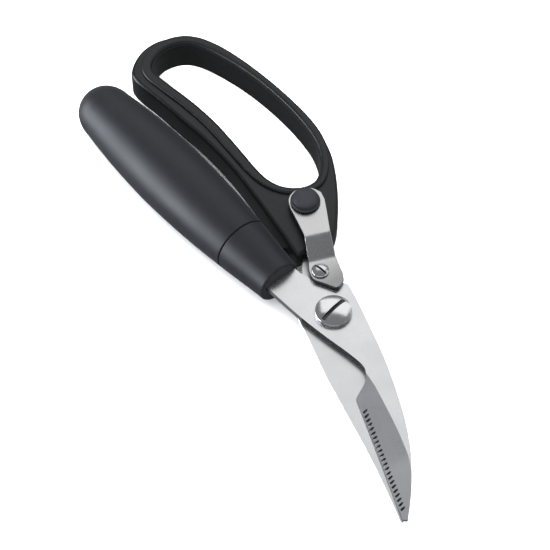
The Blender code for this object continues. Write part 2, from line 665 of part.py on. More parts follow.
def make_catch_pivot():
    bore = CATCH_SHANK_RADIUS + GAP
    bush_low = GAP - SHEAR_GAP
    washer_top = CATCH_FOOT_LOW - GAP
    washer_low = washer_top - CATCH_WASHER_THICKNESS
    bush_top = washer_low - GAP
    head_low = CATCH_FOOT_TOP + GAP
    head = dome(CATCH_HEAD_RADIUS, head_low, CATCH_HEAD_RIM, CATCH_HEAD_RISE)[1:]
    shank = [(0, REAR_BOTTOM), (CATCH_SHANK_RADIUS, REAR_BOTTOM), (CATCH_SHANK_RADIUS, head_low)]
    place = (*CATCH_PIVOT, 0)
    screw = round_off(make_object("catch_screw", turned(shank + head, 28), "polished_steel", place))
    slot_middle = head_low + CATCH_HEAD_RIM + CATCH_HEAD_RISE - CATCH_SLOT_DEPTH + CATCH_SLOT[2] / 2
    slot = block(CATCH_SLOT, (*CATCH_PIVOT, slot_middle), CATCH_SLOT_TURN)
    cut(screw, make_object("catch_slot", slot))
    bush = washer(bore, CATCH_BUSH_RADIUS, bush_low, bush_top, 24)
    ring = washer(bore, CATCH_BUSH_RADIUS, washer_low, washer_top, 24)
    return [screw,
            round_off(make_object("catch_bush", bush, "satin_steel", place)),
            round_off(make_object("catch_spring_washer", ring, "spring_steel", place))]


# ---------------------------------------------------------------- assembly

def build():
    clear_scene()
    shears = make_holder("shears", (0, 0, -NUT_FACE))
    barrel_side = make_holder("barrel_side", (0, 0, 0), shears)
    loop_side = make_holder("loop_side", (0, 0, 0), shears)
    catch = make_holder("catch", (*CATCH_PIVOT, 0), loop_side)
    hang(barrel_side, make_front_blade(), *make_pivot(), *make_barrel_grip())
    hang(loop_side, make_rear_blade(), make_loop_handle(), make_opening_spring(), *make_catch_pivot())
    hang(catch, make_catch_lever(), *make_knob())


build()
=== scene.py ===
"""Looks of the poultry shears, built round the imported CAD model.

Shapes are drawn in millimetres about the pivot axis, with z = 0 in the shear plane between the
blades. make_object() puts them into the model's frame, in metres.
"""
import math

import bmesh
import bpy
from mathutils import Matrix, Vector


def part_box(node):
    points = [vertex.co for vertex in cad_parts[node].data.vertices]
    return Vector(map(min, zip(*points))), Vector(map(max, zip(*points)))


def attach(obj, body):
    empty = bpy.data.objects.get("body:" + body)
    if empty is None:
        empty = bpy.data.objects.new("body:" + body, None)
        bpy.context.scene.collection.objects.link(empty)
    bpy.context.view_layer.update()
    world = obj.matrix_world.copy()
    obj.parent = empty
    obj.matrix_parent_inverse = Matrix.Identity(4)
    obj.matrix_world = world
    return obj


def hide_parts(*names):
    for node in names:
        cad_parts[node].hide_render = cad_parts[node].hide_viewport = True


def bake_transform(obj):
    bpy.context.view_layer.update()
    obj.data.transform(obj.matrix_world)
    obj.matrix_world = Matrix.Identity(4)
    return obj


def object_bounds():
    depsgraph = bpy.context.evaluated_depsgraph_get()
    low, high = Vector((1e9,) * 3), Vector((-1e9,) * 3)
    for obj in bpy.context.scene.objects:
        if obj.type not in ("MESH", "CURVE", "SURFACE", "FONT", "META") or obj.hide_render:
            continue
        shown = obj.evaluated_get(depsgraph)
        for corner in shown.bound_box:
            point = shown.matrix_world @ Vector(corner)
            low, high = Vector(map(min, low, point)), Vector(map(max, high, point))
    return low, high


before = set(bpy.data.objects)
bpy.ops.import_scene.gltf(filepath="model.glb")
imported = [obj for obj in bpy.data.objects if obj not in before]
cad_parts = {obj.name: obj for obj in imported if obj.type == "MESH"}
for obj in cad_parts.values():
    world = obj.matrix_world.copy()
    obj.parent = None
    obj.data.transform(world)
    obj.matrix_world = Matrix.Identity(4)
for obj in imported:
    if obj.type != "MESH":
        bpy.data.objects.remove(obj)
CAD_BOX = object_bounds()

MM = 0.001
SMALLEST_INSET = 1e-9              # anything less is no inset
SHARPEST_CORNER = 0.5              # limits how far an offset corner reaches
MIX_A, MIX_B, MIX_RESULT = 6, 7, 2   # the colour sockets of a mix node
GAP = 0.3                          # stands in for surfaces that touch
BLADE_THICKNESS = 2.6
SHEAR_GAP = 0.15                   # from the shear plane to each blade
SHEAR_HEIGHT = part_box("front_blade")[0].z / MM - SHEAR_GAP      # the shear plane above the origin
FRONT_TOP = SHEAR_GAP + BLADE_THICKNESS
REAR_BOTTOM = -FRONT_TOP

# Blades
TIP_X = 88.3
HEEL = (35.5, -14.5)
EDGE_END = (87.2, -30.7)
REAR_HEEL = (33.0, -5.2)
REAR_TIP = (88.2, -31.0)
FRONT_SLOPE = 0.235                # of the front blade's ground face
REAR_EDGE_HEIGHT = 0.55
PIVOT_HOLE_RADIUS = 3.7
SMALL_HOLE_RADIUS = 1.8            # for the catch screw and the knob's stud
BLADE_ROUNDING = 0.16              # of the blades' cut edges
BROAD_FACE_NORMAL = 0.9            # a broad face's normal has at least this z, up or down
WALL_NORMAL_Z = 0.5                # a cut edge's normal has less than this z, up or down,
WALL_NORMAL_Y = 0.3                # and where it looks towards the grip, less than this y
GRIND_BEFORE = 3                   # how far the grinding cutter reaches before its upper line,
GRIND_PAST = 4                     # past the edge
GRIND_OVER = 9                     # and above the blade
REAR_GRIND_WIDTH = (3.0, 6.4)      # across the rear blade's ground face, in x and y
SERRATION_COUNT = 23
SERRATION_PITCH = 1.97
SERRATION_START = 6.5
SERRATION_INSET = 1.4
SERRATION_SINK = 0.15              # how far a cut's axis lies under the ground face
SERRATION_LEAN = math.radians(27)
SERRATION_TILT = 0.2               # a cut's climb over its run
SERRATION_START_BACK = 0.95        # how far the bit's zero lies behind the middle of its cut
SERRATION_SHALLOWS = 2             # the first cuts are shallower,
SERRATION_SHALLOW_STEP = 0.12      # each by so much more than the next
SERRATION_BIT = ((0, -0.2), (0.38, -0.1), (0.52, 0.25), (0.44, 1.5), (0.28, 1.9), (0, 2.05))

# Barrel grip
BARREL_FRONT = (-25.0, -7.9)
BARREL_ANGLE = math.radians(5.75)
BARREL_LENGTH = 123.0
BUTT_START = 110.0
BUTT_STEPS = 20
BUTT_FULLNESS = 0.85               # below 1 is blunter than an ellipse
FERRULE_LENGTH = 23.4
SPIGOT_LENGTH = 4.6                # of the ferrule, inside the sleeve
SEAM_GAP = 0.5
SEAM_ROUNDING = 0.35
FRONT_ROUNDING = 1.0               # of the ferrule's front face
BARREL_STATIONS = ((0, 9.3), (23, 11.9), (46, 13.9), (70, 14.6), (92, 13.7), (110, 11.9))
BARREL_BEFORE = (0, 8.4)           # these two only steer the curve at its ends
BARREL_AFTER = (128, 9.6)
CORE_RADIUS = 8.0
CORE_END = 103.0
TANG_HALF_WIDTH = 4.2
TANG_END = 80.0

# Loop handle
WEB_BACK = -7.25
WEB_FRONT = 5.45
LIP_BACK = -8.6
LIP_FRONT = 6.8
WEB_ROUNDING = 1.7
LIP_WIDTH = 4.9
LIP_NECK_WIDTH = 3.6
LIP_NECK_START_X = -80.0           # where the lip begins to narrow
LIP_NECK_END_X = -58.0             # and has its neck width
LIP_LEDGE = 0.5                    # of web that always shows outside the lip
LIP_CORNER = 0.85
LIP_SMOOTHING = 12                 # passes that even out the lip's width
OPENING_OVERLAP = 0.1              # of the opening's cut into the lip
TANG_CLEARANCE = 0.15              # round the rear tang
NECK_END_X = -27.3
NOSE_BACK = -4.6
NOSE_FRONT = 3.4
NOSE_START_X = -40.0

# Catch
CATCH_PIVOT = (-17.8, 6.2)
CATCH_THICKNESS = 1.6
CATCH_RISE = 4.0
CATCH_BEND_START = 5.3
CATCH_BEND_END = 14.6
CATCH_BEND_TURN = math.radians(18.5)
CATCH_BEND_REACH = 1.1             # half the length of a bend
CATCH_BEND_CUTS = 8                # creases across a bend, less one
CATCH_ROUNDING = 0.28              # of the lever's edges
CATCH_CLEARANCE = 0.45             # between the front blade and the lever's foot
CATCH_FOOT_LOW = FRONT_TOP + CATCH_CLEARANCE
CATCH_FOOT_TOP = CATCH_FOOT_LOW + CATCH_THICKNESS
CATCH_ARM_TOP = CATCH_FOOT_TOP + CATCH_RISE
KNOB_CENTRE = (-46.4, 18.9)

# Screws
HEAD_SOFTNESS = 0.05               # the bevel of a head's rim
HEAD_ROUNDING = 0.12               # of a head's sharper edges
PIVOT_HEAD_RADIUS = 7.15
PIVOT_HEAD_LOW = FRONT_TOP + 1.0   # the washer and two gaps lie under it
PIVOT_HEAD_RIM = 0.7               # the straight part of the head
PIVOT_HEAD_RISE = 1.5              # and the dome above it
PIVOT_SHANK_RADIUS = 2.1
PIVOT_SLOT = (20, 1.6, 3)          # length, width and height of what cuts the slot
PIVOT_SLOT_BOTTOM = PIVOT_HEAD_LOW + 1.0
PIVOT_SLOT_TURN = math.radians(104)
NUT_TOP = REAR_BOTTOM - 1.0        # the spring washer and two gaps lie above it
NUT_FLANGE = 1.4
NUT_RADIUS = 7.0
NUT_FACE_RADIUS = 6.6
NUT_CHAMFER = 0.35
NUT_SLEEVE_RADIUS = 3.4
NUT_BORE_RADIUS = 2.4
WASHER_LOW = FRONT_TOP + GAP
WASHER_TOP = FRONT_TOP + 0.7
WASHER_RADIUS = 6.9
WASHER_CHAMFER = 0.1
CATCH_HEAD_RADIUS = 3.4
CATCH_HEAD_LOW = CATCH_FOOT_TOP + GAP
CATCH_HEAD_RIM = 0.5
CATCH_HEAD_RISE = 1.1
CATCH_SHANK_RADIUS = 1.5
CATCH_SLOT = (10, 0.9, 2)
CATCH_SLOT_BOTTOM = CATCH_HEAD_LOW + 0.7
CATCH_SLOT_TURN = math.radians(14)

# Opening spring
SPRING_CENTRE = (-38.0, -4.2)
SPRING_LOW_Y = -2.6
SPRING_HIGH_Y = 6.0
SPRING_RADIUS = 1.4
SPRING_WIRE = 0.4
SPRING_TURNS = 5
SPRING_TURN_STEPS = 32
SPRING_WIRE_SIDES = 12
SPRING_CLEARANCE = 0.4             # round the coil in its pocket

# Camera, in degrees, millimetres and metres
CAMERA_AZIMUTH = 55.7
CAMERA_ELEVATION = 55.0
CAMERA_LENS = 135.0
CAMERA_DISTANCE = 0.798
PIVOT_RIGHT_OF_CENTRE = 0.02256
PIVOT_BELOW_CENTRE = 0.01613
LIGHT_TARGET = (-0.03, 0.005, 0.005)
FLOOR_HALF_SIZE = 2.0
FLOOR_DROP = 0.1                   # in millimetres, below the lowest point of the CAD
# World light by how far a direction points upwards, from -1 to 1: two ramps that are multiplied,
# each from one height to another, and the strengths there.
WORLD_RAMPS = ((-0.25, 0.05, 0.42, 0.28), (-0.85, -0.40, 0.36, 1.0))


# ---------------------------------------------------------------- outlines

def arc(centre, radius, start, end, steps):
    """Points on part of a circle, between two angles in degrees."""
    angles = [math.radians(start + (end - start) * i / steps) for i in range(steps + 1)]
    return [(centre[0] + radius * math.cos(a), centre[1] + radius * math.sin(a)) for a in angles]


def catmull_rom(a, b, c, d, t):
    """The curve through four values or points, at a share t of the way from b to c."""
    curve = 2 * b + (c - a) * t + (2 * a - 5 * b + 4 * c - d) * t ** 2
    return (curve + (3 * b - a - 3 * c + d) * t ** 3) / 2


def share_between(x, start, end):
    """How far x lies from start to end, from 0 to 1."""
    return min(max((x - start) / (end - start), 0.0), 1.0)


def smooth(points, steps, closed=False):
    """A Catmull-Rom curve through the points, with a number of steps between neighbours."""
    count = len(points)
    spans = count if closed else count - 1
    curve = []
    for i in range(spans):
        if closed:
            a, b, c, d = (Vector(points[(i + k) % count]) for k in (-1, 0, 1, 2))
        else:
            a, b, c, d = (Vector(points[min(max(i + k, 0), count - 1)]) for k in (-1, 0, 1, 2))
        for k in range(steps):
            curve.append(tuple(catmull_rom(a, b, c, d, k / steps)))
    if not closed:
        curve.append(tuple(points[-1]))
    return curve


def offset(outline, distance):
    """Moves a counter-clockwise outline outwards by a distance."""
    moved = []
    for i, point in enumerate(outline):
        here = Vector(point)
        before = (here - Vector(outline[i - 1])).normalized()
        after = (Vector(outline[(i + 1) % len(outline)]) - here).normalized()
        normal = Vector((before.y + after.y, -before.x - after.x)).normalized()
        reach = distance / max(normal.dot(Vector((before.y, -before.x))), SHARPEST_CORNER)
        moved.append(tuple(here + normal * reach))
    return moved


def barrel_point(along, across):
    """A place on the barrel's middle plane, along its axis from the front and across it."""
    cos, sin = math.cos(BARREL_ANGLE), math.sin(BARREL_ANGLE)
    return (BARREL_FRONT[0] - along * cos - across * sin,
            BARREL_FRONT[1] - along * sin + across * cos)


def barrel_radius(along):
    """The barrel's fat cigar shape between its front face and the start of its round butt."""
    for (a, ra), (b, rb) in zip(BARREL_STATIONS, BARREL_STATIONS[1:]):
        if along <= b:
            break
    before = (BARREL_BEFORE,) + BARREL_STATIONS
    after = BARREL_STATIONS + (BARREL_AFTER,)
    i = BARREL_STATIONS.index((a, ra))
    return catmull_rom(before[i][1], ra, rb, after[i + 2][1], (along - a) / (b - a))


# ---------------------------------------------------------------- mesh tools

def make_object(name, bm, material=None, place=(0, 0, 0)):
    """Turns a bmesh drawn in millimetres about the shear plane into an object of the model's frame."""
    bmesh.ops.translate(bm, verts=bm.verts, vec=Vector(place) + Vector((0, 0, SHEAR_HEIGHT)))
    bmesh.ops.scale(bm, verts=bm.verts, vec=(MM, MM, MM))
    bmesh.ops.recalc_face_normals(bm, faces=bm.faces)
    mesh = bpy.data.meshes.new(name)
    bm.to_mesh(mesh)
    bm.free()
    obj = bpy.data.objects.new(name, mesh)
    bpy.context.scene.collection.objects.link(obj)
    if material:
        mesh.materials.append(material)
    mesh.shade_smooth()
    return obj


def prism(outline, low, high):
    """A plate between two heights."""
    bm = bmesh.new()
    floor = bm.faces.new([bm.verts.new((x, y, low)) for x, y in outline])
    top = bmesh.ops.extrude_face_region(bm, geom=[floor])["geom"]
    lifted = [v for v in top if isinstance(v, bmesh.types.BMVert)]
    bmesh.ops.translate(bm, verts=lifted, vec=(0, 0, high - low))
    return bm


def stacked(levels):
    """A closed skin through rings of equal length, each a list of points, capped at both ends."""
    bm = bmesh.new()
    rings = [[bm.verts.new(point) for point in ring] for ring in levels]
    bm.faces.new(rings[0])
    bm.faces.new(rings[-1])
    bridge(bm, rings)
    return bm


def bridge(bm, rings):
    """Faces between neighbouring rings of equal length."""
    count = len(rings[0])
    for low, high in zip(rings, rings[1:]):
        for i in range(count):
            j = (i + 1) % count
            bm.faces.new((low[i], low[j], high[j], high[i]))


def filleted_plate(outline, low, high, radius, steps=5):
    """A plate between two heights with both rims rounded."""
    rounding = []
    for i in range(steps + 1):
        turn = math.pi / 2 * i / steps
        rounding.append((radius * (1 - math.sin(turn)), radius * (1 - math.cos(turn))))
    levels = [(inset, low + depth) for inset, depth in rounding]
    levels += [(inset, high - depth) for inset, depth in reversed(rounding)]
    rings = []
    for inset, height in levels:
        ring = offset(outline, -inset) if inset > SMALLEST_INSET else outline
        rings.append([(x, y, height) for x, y in ring])
    return stacked(rings)


def turned(profile, segments=96):
    """A profile of (radius, height) pairs turned round Z; it is closed on the axis or on itself."""
    bm = bmesh.new()
    rings = []
    for radius, height in profile:
        if radius == 0:
            rings.append([bm.verts.new((0, 0, height))])
            continue
        turn = [2 * math.pi * i / segments for i in range(segments)]
        rings.append([bm.verts.new((radius * math.cos(a), radius * math.sin(a), height)) for a in turn])
    pairs = list(zip(rings, rings[1:]))
    if profile[0][0] != 0:
        pairs.append((rings[-1], rings[0]))
    for low, high in pairs:
        for i in range(segments):
            j = (i + 1) % segments
            corners = [low[i % len(low)], low[j % len(low)], high[j % len(high)], high[i % len(high)]]
            bm.faces.new(list(dict.fromkeys(corners)))
    return bm


def disc(radius, low, high, segments=64):
    return turned([(0, low), (radius, low), (radius, high), (0, high)], segments)


def drill(radius, low, high, segments=64, place=(0, 0)):
    """What cuts a round hole between two heights."""
    return make_object("hole", disc(radius, low, high, segments), place=(*place, 0))


def block(size, centre, turn=0.0):
    bm = bmesh.new()
    bmesh.ops.create_cube(bm, size=1)
    bmesh.ops.scale(bm, verts=bm.verts, vec=size)
    bmesh.ops.rotate(bm, verts=bm.verts, matrix=Matrix.Rotation(turn, 3, "Z"))
    bmesh.ops.translate(bm, verts=bm.verts, vec=centre)
    return bm


def apply_modifiers(obj):
    """Makes the shape that an object's modifiers give it its own."""
    graph = bpy.context.evaluated_depsgraph_get()
    mesh = bpy.data.meshes.new_from_object(obj.evaluated_get(graph))
    obj.modifiers.clear()
    obj.data = mesh


def combine(obj, *others, operation="DIFFERENCE"):
    """Cuts other objects out of an object, or joins them to it, and removes them."""
    for other in others:
        modifier = obj.modifiers.new("Boolean", "BOOLEAN")
        modifier.operation = operation
        modifier.solver = "EXACT"
        modifier.material_mode = "TRANSFER"
        modifier.object = other
    apply_modifiers(obj)
    for other in others:
        bpy.data.objects.remove(other, do_unlink=True)


def soften(obj, width, segments=3, angle=28):
    """Rounds the edges that are sharper than an angle."""
    bevel = obj.modifiers.new("Edge rounding", "BEVEL")
    bevel.width = width * MM
    bevel.segments = segments
    bevel.limit_method = "ANGLE"
    bevel.angle_limit = math.radians(angle)
    bevel.harden_normals = True
    return obj


def crisp(obj, angle=35):
    """Smooth shading with flat faces kept flat and sharp edges kept sharp."""
    obj.data.shade_smooth()
    obj.data.set_sharp_from_angle(angle=math.radians(angle))
    weighted = obj.modifiers.new("Even normals", "WEIGHTED_NORMAL")
    weighted.keep_sharp = True
    return obj


def flatten(obj):
    """Shades a plate's broad faces flat, so that no light runs across their creases."""
    for face in obj.data.polygons:
        face.use_smooth = abs(face.normal.z) < BROAD_FACE_NORMAL
    return obj


def show(obj, body, slot, *nodes):
    """Puts a finished piece on its body in place of CAD nodes."""
    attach(obj, body)
    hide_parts(*nodes)
    return obj


# ---------------------------------------------------------------- materials

def map_range(tree, value, start, end, low, high):
    """Maps a value between start and end onto low to high."""
    ramp = tree.nodes.new("ShaderNodeMapRange")
    tree.links.new(value, ramp.inputs["Value"])
    for key, number in (("From Min", start), ("From Max", end), ("To Min", low), ("To Max", high)):
        ramp.inputs[key].default_value = number
    return ramp.outputs[0]


class Finish:
    """A node material with short calls for what every finish here needs."""

    def __init__(self, name, colour, roughness, metallic):
        self.material = bpy.data.materials.new(name)
        self.material.use_nodes = True
        self.tree = self.material.node_tree
        self.shader = self.tree.nodes["Principled BSDF"]
        self.shader.inputs["Base Color"].default_value = (*colour, 1)
        self.shader.inputs["Roughness"].default_value = roughness
        self.shader.inputs["Metallic"].default_value = metallic
        self.place = self.node("ShaderNodeTexCoord").outputs["Object"]

    def node(self, kind, **inputs):
        """A new node, with values or links for its inputs."""
        made = self.tree.nodes.new(kind)
        for key, value in inputs.items():
            socket = made.inputs[key.replace("_", " ")]
            if isinstance(value, bpy.types.NodeSocket):
                self.tree.links.new(value, socket)
            else:
                socket.default_value = value
        return made

    def link(self, output, name):
        self.tree.links.new(output, self.shader.inputs[name])

    def noise(self, scale, detail=3.0, stretch=(1, 1, 1), turn=0.0, roughness=0.5):
        """Noise with a number of cells per metre, which may be stretched and turned round Z."""
        mapping = self.node("ShaderNodeMapping", Vector=self.place, Rotation=(0, 0, turn))
        second = self.node("ShaderNodeMapping", Vector=mapping.outputs[0],
                           Scale=tuple(scale * s for s in stretch))
        noise = self.node("ShaderNodeTexNoise", Vector=second.outputs[0], Scale=1.0, Detail=detail,
                          Roughness=roughness)
        return noise.outputs["Fac"]

    def spread(self, value, low, high, start=0.3, end=0.7):
        """Maps a noise value onto a range."""
        return map_range(self.tree, value, start, end, low, high)

    def tint(self, value, dark, light):
        """A colour between two, by a value from 0 to 1."""
        mix = self.tree.nodes.new("ShaderNodeMix")
        mix.data_type = "RGBA"
        self.tree.links.new(value, mix.inputs["Factor"])
        mix.inputs[MIX_A].default_value = (*dark, 1)
        mix.inputs[MIX_B].default_value = (*light, 1)
        return mix.outputs[MIX_RESULT]

    def bump(self, value, depth, strength=1.0, under=None):
        """Relief with a depth in metres, on top of the relief under it."""
        bump = self.node("ShaderNodeBump", Height=value, Strength=strength, Distance=depth)
        if under is not None:
            self.tree.links.new(under, bump.inputs["Normal"])
        return bump.outputs[0]


def brushed_steel(name, colour, roughness, grain_turn, grain_depth=0.0000016):
    """Satin steel with fine grinding lines and faint handling marks."""
    finish = Finish(name, colour, roughness, metallic=1.0)
    lines = finish.noise(scale=1.0, detail=4.0, stretch=(90, 5200, 5200), turn=grain_turn, roughness=0.6)
    marks = finish.noise(scale=85.0)
    dark = tuple(c * 0.93 for c in colour)
    light = tuple(min(c * 1.05, 1.0) for c in colour)
    finish.link(finish.tint(finish.spread(lines, 0, 1), dark, light), "Base Color")
    blend = finish.node("ShaderNodeMath", Value=0.0)
    blend.operation = "ADD"
    finish.tree.links.new(finish.spread(lines, roughness - 0.05, roughness + 0.05), blend.inputs[0])
    finish.tree.links.new(finish.spread(marks, -0.03, 0.04), blend.inputs[1])
    finish.link(blend.outputs[0], "Roughness")
    finish.link(finish.bump(lines, grain_depth), "Normal")
    return finish.material


def steel_with_painted_shade(name, colour, roughness, grain_turn, from_x, to_x, darkening):
    """Brushed steel with painted shade: it darkens along X between two places in millimetres."""
    material = brushed_steel(name, colour, roughness, grain_turn)
    tree = material.node_tree
    shader = tree.nodes["Principled BSDF"]
    steel = shader.inputs["Base Color"].links[0].from_socket
    split = tree.nodes.new("ShaderNodeSeparateXYZ")
    tree.links.new(tree.nodes.new("ShaderNodeTexCoord").outputs["Object"], split.inputs[0])
    share = map_range(tree, split.outputs["X"], from_x * MM, to_x * MM, 1, darkening)
    shade = tree.nodes.new("ShaderNodeVectorMath")
    shade.operation = "SCALE"
    tree.links.new(steel, shade.inputs[0])
    tree.links.new(share, shade.inputs["Scale"])
    tree.links.new(shade.outputs[0], shader.inputs["Base Color"])
    return material


def turned_steel(name, colour, roughness, centre):
    """Polished steel with faint rings round a centre, in millimetres."""
    finish = Finish(name, colour, roughness, metallic=1.0)
    shifted = finish.node("ShaderNodeVectorMath", Vector=finish.place)
    shifted.operation = "SUBTRACT"
    shifted.inputs[1].default_value = (centre[0] * MM, centre[1] * MM, 0)
    flat = finish.node("ShaderNodeVectorMath", Vector=shifted.outputs[0])
    flat.operation = "MULTIPLY"
    flat.inputs[1].default_value = (1, 1, 0)
    radius = finish.node("ShaderNodeVectorMath", Vector=flat.outputs[0])
    radius.operation = "LENGTH"
    rings = finish.node("ShaderNodeTexNoise", Scale=9000.0, Detail=2.0)
    rings.noise_dimensions = "1D"
    finish.tree.links.new(radius.outputs["Value"], rings.inputs["W"])
    smudge = finish.noise(scale=500.0)
    finish.link(finish.spread(smudge, roughness - 0.03, roughness + 0.08), "Roughness")
    finish.link(finish.bump(rings.outputs["Fac"], depth=0.0000025), "Normal")
    return finish.material


def soft_grip(name, colour):
    """Soft-touch rubber: a fine pebble, slightly uneven in sheen, a little paler where it is handled."""
    finish = Finish(name, colour, roughness=0.5, metallic=0.0)
    pebble = finish.noise(scale=5200.0, detail=2.0)
    patches = finish.noise(scale=38.0, detail=4.0)
    light = tuple(c * 1.22 for c in colour)
    finish.link(finish.tint(finish.spread(patches, 0, 1), colour, light), "Base Color")
    finish.link(finish.spread(patches, 0.44, 0.54), "Roughness")
    finish.link(finish.bump(pebble, depth=0.00002, strength=0.6), "Normal")
    finish.shader.inputs["Sheen Weight"].default_value = 0.04
    finish.shader.inputs["Sheen Roughness"].default_value = 0.45
    finish.shader.inputs["Sheen Tint"].default_value = (0.75, 0.80, 0.95, 1)
    finish.shader.inputs["Specular IOR Level"].default_value = 0.42
    return finish.material


def moulded_plastic(name, colour, roughness, shine=0.40):
    """Moulded plastic with a spark-eroded texture and slow changes of gloss."""
    finish = Finish(name, colour, roughness, metallic=0.0)
    texture = finish.noise(scale=4200.0)
    slow = finish.noise(scale=55.0)
    light = tuple(c * 1.25 for c in colour)
    finish.link(finish.tint(finish.spread(slow, 0, 1), colour, light), "Base Color")
    finish.link(finish.spread(slow, roughness - 0.04, roughness + 0.05), "Roughness")
    finish.link(finish.bump(texture, depth=0.000014, strength=0.7), "Normal")
    finish.shader.inputs["Specular IOR Level"].default_value = shine
    return finish.material


def painted_groove_shade(name):
    """Painted shade for steel inside a narrow cut: dark, with a random mottle."""
    finish = Finish(name, colour=(0.10, 0.10, 0.105), roughness=0.55, metallic=1.0)
    mottle = finish.spread(finish.noise(scale=2500.0, detail=2.0), 0, 1)
    finish.link(finish.tint(mottle, dark=(0.05, 0.05, 0.052), light=(0.16, 0.16, 0.165)), "Base Color")
    return finish.material


BLADE_STEEL = brushed_steel("blade_steel", (0.70, 0.705, 0.715), roughness=0.30,
                            grain_turn=math.radians(17))
GROUND_STEEL = brushed_steel("ground_steel", (0.55, 0.56, 0.58), roughness=0.32,
                             grain_turn=math.radians(107), grain_depth=0.000002)
# Painted shade: the catch steel darkens along the lever's foot towards its toe.
CATCH_STEEL = steel_with_painted_shade("catch_steel", (0.575, 0.572, 0.57), roughness=0.27,
                            grain_turn=math.radians(18), from_x=-23, to_x=-11, darkening=0.52)
# Painted shade for the insides of slots and serrations.
SHADED_GROOVE = painted_groove_shade("groove_shade_painted")
# Painted shade: near-black steel for walls that lie in shadow, the front blade's lower wall over the rear
# blade and the catch lever's walls.
PAINTED_SHADE_EDGE = brushed_steel("edge_shade_painted", (0.09, 0.09, 0.095), roughness=0.45, grain_turn=0.0,
                         grain_depth=0.000008)
# Painted reflection: pale, partly diffuse steel on the rear blade's walls stands in for the white floor
# mirrored in them.
PAINTED_REFLECTION_EDGE = brushed_steel("edge_reflection_painted", (0.80, 0.81, 0.82), roughness=0.5, grain_turn=0.0)
PAINTED_REFLECTION_EDGE.node_tree.nodes["Principled BSDF"].inputs["Metallic"].default_value = 0.25
PIVOT_STEEL = turned_steel("pivot_steel", (0.72, 0.72, 0.73), roughness=0.14, centre=(0, 0))
CATCH_SCREW_STEEL = turned_steel("catch_screw_steel", (0.68, 0.68, 0.69), roughness=0.18,
                                 centre=CATCH_PIVOT)
# Painted shade: dark steel so that the coil stays dark in its pocket; the spring washers take it too.
PAINTED_SHADE_SPRING = brushed_steel("spring_steel", (0.16, 0.16, 0.17), roughness=0.38, grain_turn=0.0)
GRIP_RUBBER = soft_grip("grip_rubber", (0.0035, 0.0037, 0.0048))
CORE_NYLON = moulded_plastic("core_nylon", (0.05, 0.05, 0.055), roughness=0.5)
HANDLE_PLASTIC = moulded_plastic("handle_plastic", (0.0034, 0.0036, 0.0038), roughness=0.36, shine=0.32)
KNOB_PLASTIC = moulded_plastic("knob_plastic", (0.0105, 0.011, 0.0135), roughness=0.52, shine=0.28)


# ---------------------------------------------------------------- blades

def front_outline(steps=8):
    tang = [barrel_point(TANG_END, -TANG_HALF_WIDTH), barrel_point(10, -TANG_HALF_WIDTH),
            barrel_point(6, -6.2)]
    lower = smooth([(-25.0, -14.5), (-16.8, -13.4), (-5.0, -11.5), (6.8, -8.9), (18.5, -5.9),
                    (26.5, -4.7), (31.0, -6.9), (32.9, -9.3), (34.2, -12.0), HEEL], steps)
    spine = smooth([(TIP_X, -29.4), (82.0, -23.5), (75.5, -18.3), (65.8, -11.6), (54.4, -5.7),
                    (41.9, -0.7), (28.7, 3.8), (14.7, 7.5), (0.3, 11.0), (-8.2, 12.5)], steps)
    notch = arc(CATCH_PIVOT, radius=4.6, start=8, end=-100, steps=16)
    shoulder = [(-22.9, 0.0), (-27.0, -0.6), barrel_point(6, 6.4), barrel_point(10, TANG_HALF_WIDTH),
                barrel_point(TANG_END, TANG_HALF_WIDTH)]
    return tang + lower + [EDGE_END] + spine + notch + shoulder


def rear_outline(steps=8):
    tang = [(-49.0, 8.4), (-31.0, 6.9), (-28.2, 5.0), (-24.2, 2.2)]
    boss = smooth([(-19.0, -2.2), (-13.5, -7.6), (-7.0, -11.4), (1.9, -13.4)], steps)
    spine = smooth([(20.6, -17.9), (39.8, -21.3), (58.4, -24.6), (76.0, -28.6), (86.2, -31.3)], steps)
    top = smooth([(30.0, -3.0), (21.0, 1.8), (12.0, 6.2), (2.0, 9.6), (-8.0, 10.8), (-17.0, 13.9),
                  (-27.5, 16.2), (-35.0, 18.4)], steps)
    return tang + boss + spine + [REAR_TIP, REAR_HEEL] + top + [(-49.0, 19.2)]


def ground_face(name, upper, edge, heights, side):
    """What grinds a face from an upper line on a plate's outer side to heights along its edge."""
    bm = bmesh.new()
    rows = []
    for a, b, height in zip(upper, edge, heights):
        start = Vector((*a, FRONT_TOP))
        end = Vector((*b, height))
        slope = (end - start).normalized()
        near = start - slope * GRIND_BEFORE
        far = end + slope * GRIND_PAST
        over = Vector((0, 0, GRIND_OVER))
        rows.append([bm.verts.new(Vector((p.x, p.y, p.z * side)))
                     for p in (near, start, end, far, far + over, near + over)])
    bm.faces.new(rows[0])
    bm.faces.new(rows[-1])
    bridge(bm, rows)
    return make_object(name, bm, GROUND_STEEL)


def line_points(start, end, count):
    """Evenly spaced points from start to end."""
    return [tuple(Vector(start).lerp(Vector(end), i / (count - 1))) for i in range(count)]


def edge_walls(piece, material, start_x, end_x):
    """Gives a plate's cut edge, on the side towards the barrel grip, a second material that paints shade or
    a floor reflection on it.
    """
    piece.data.materials.append(material)
    for face in piece.data.polygons:
        inside = start_x * MM < face.center.x < end_x * MM
        if inside and abs(face.normal.z) < WALL_NORMAL_Z and face.normal.y < WALL_NORMAL_Y:
            face.material_index = 1


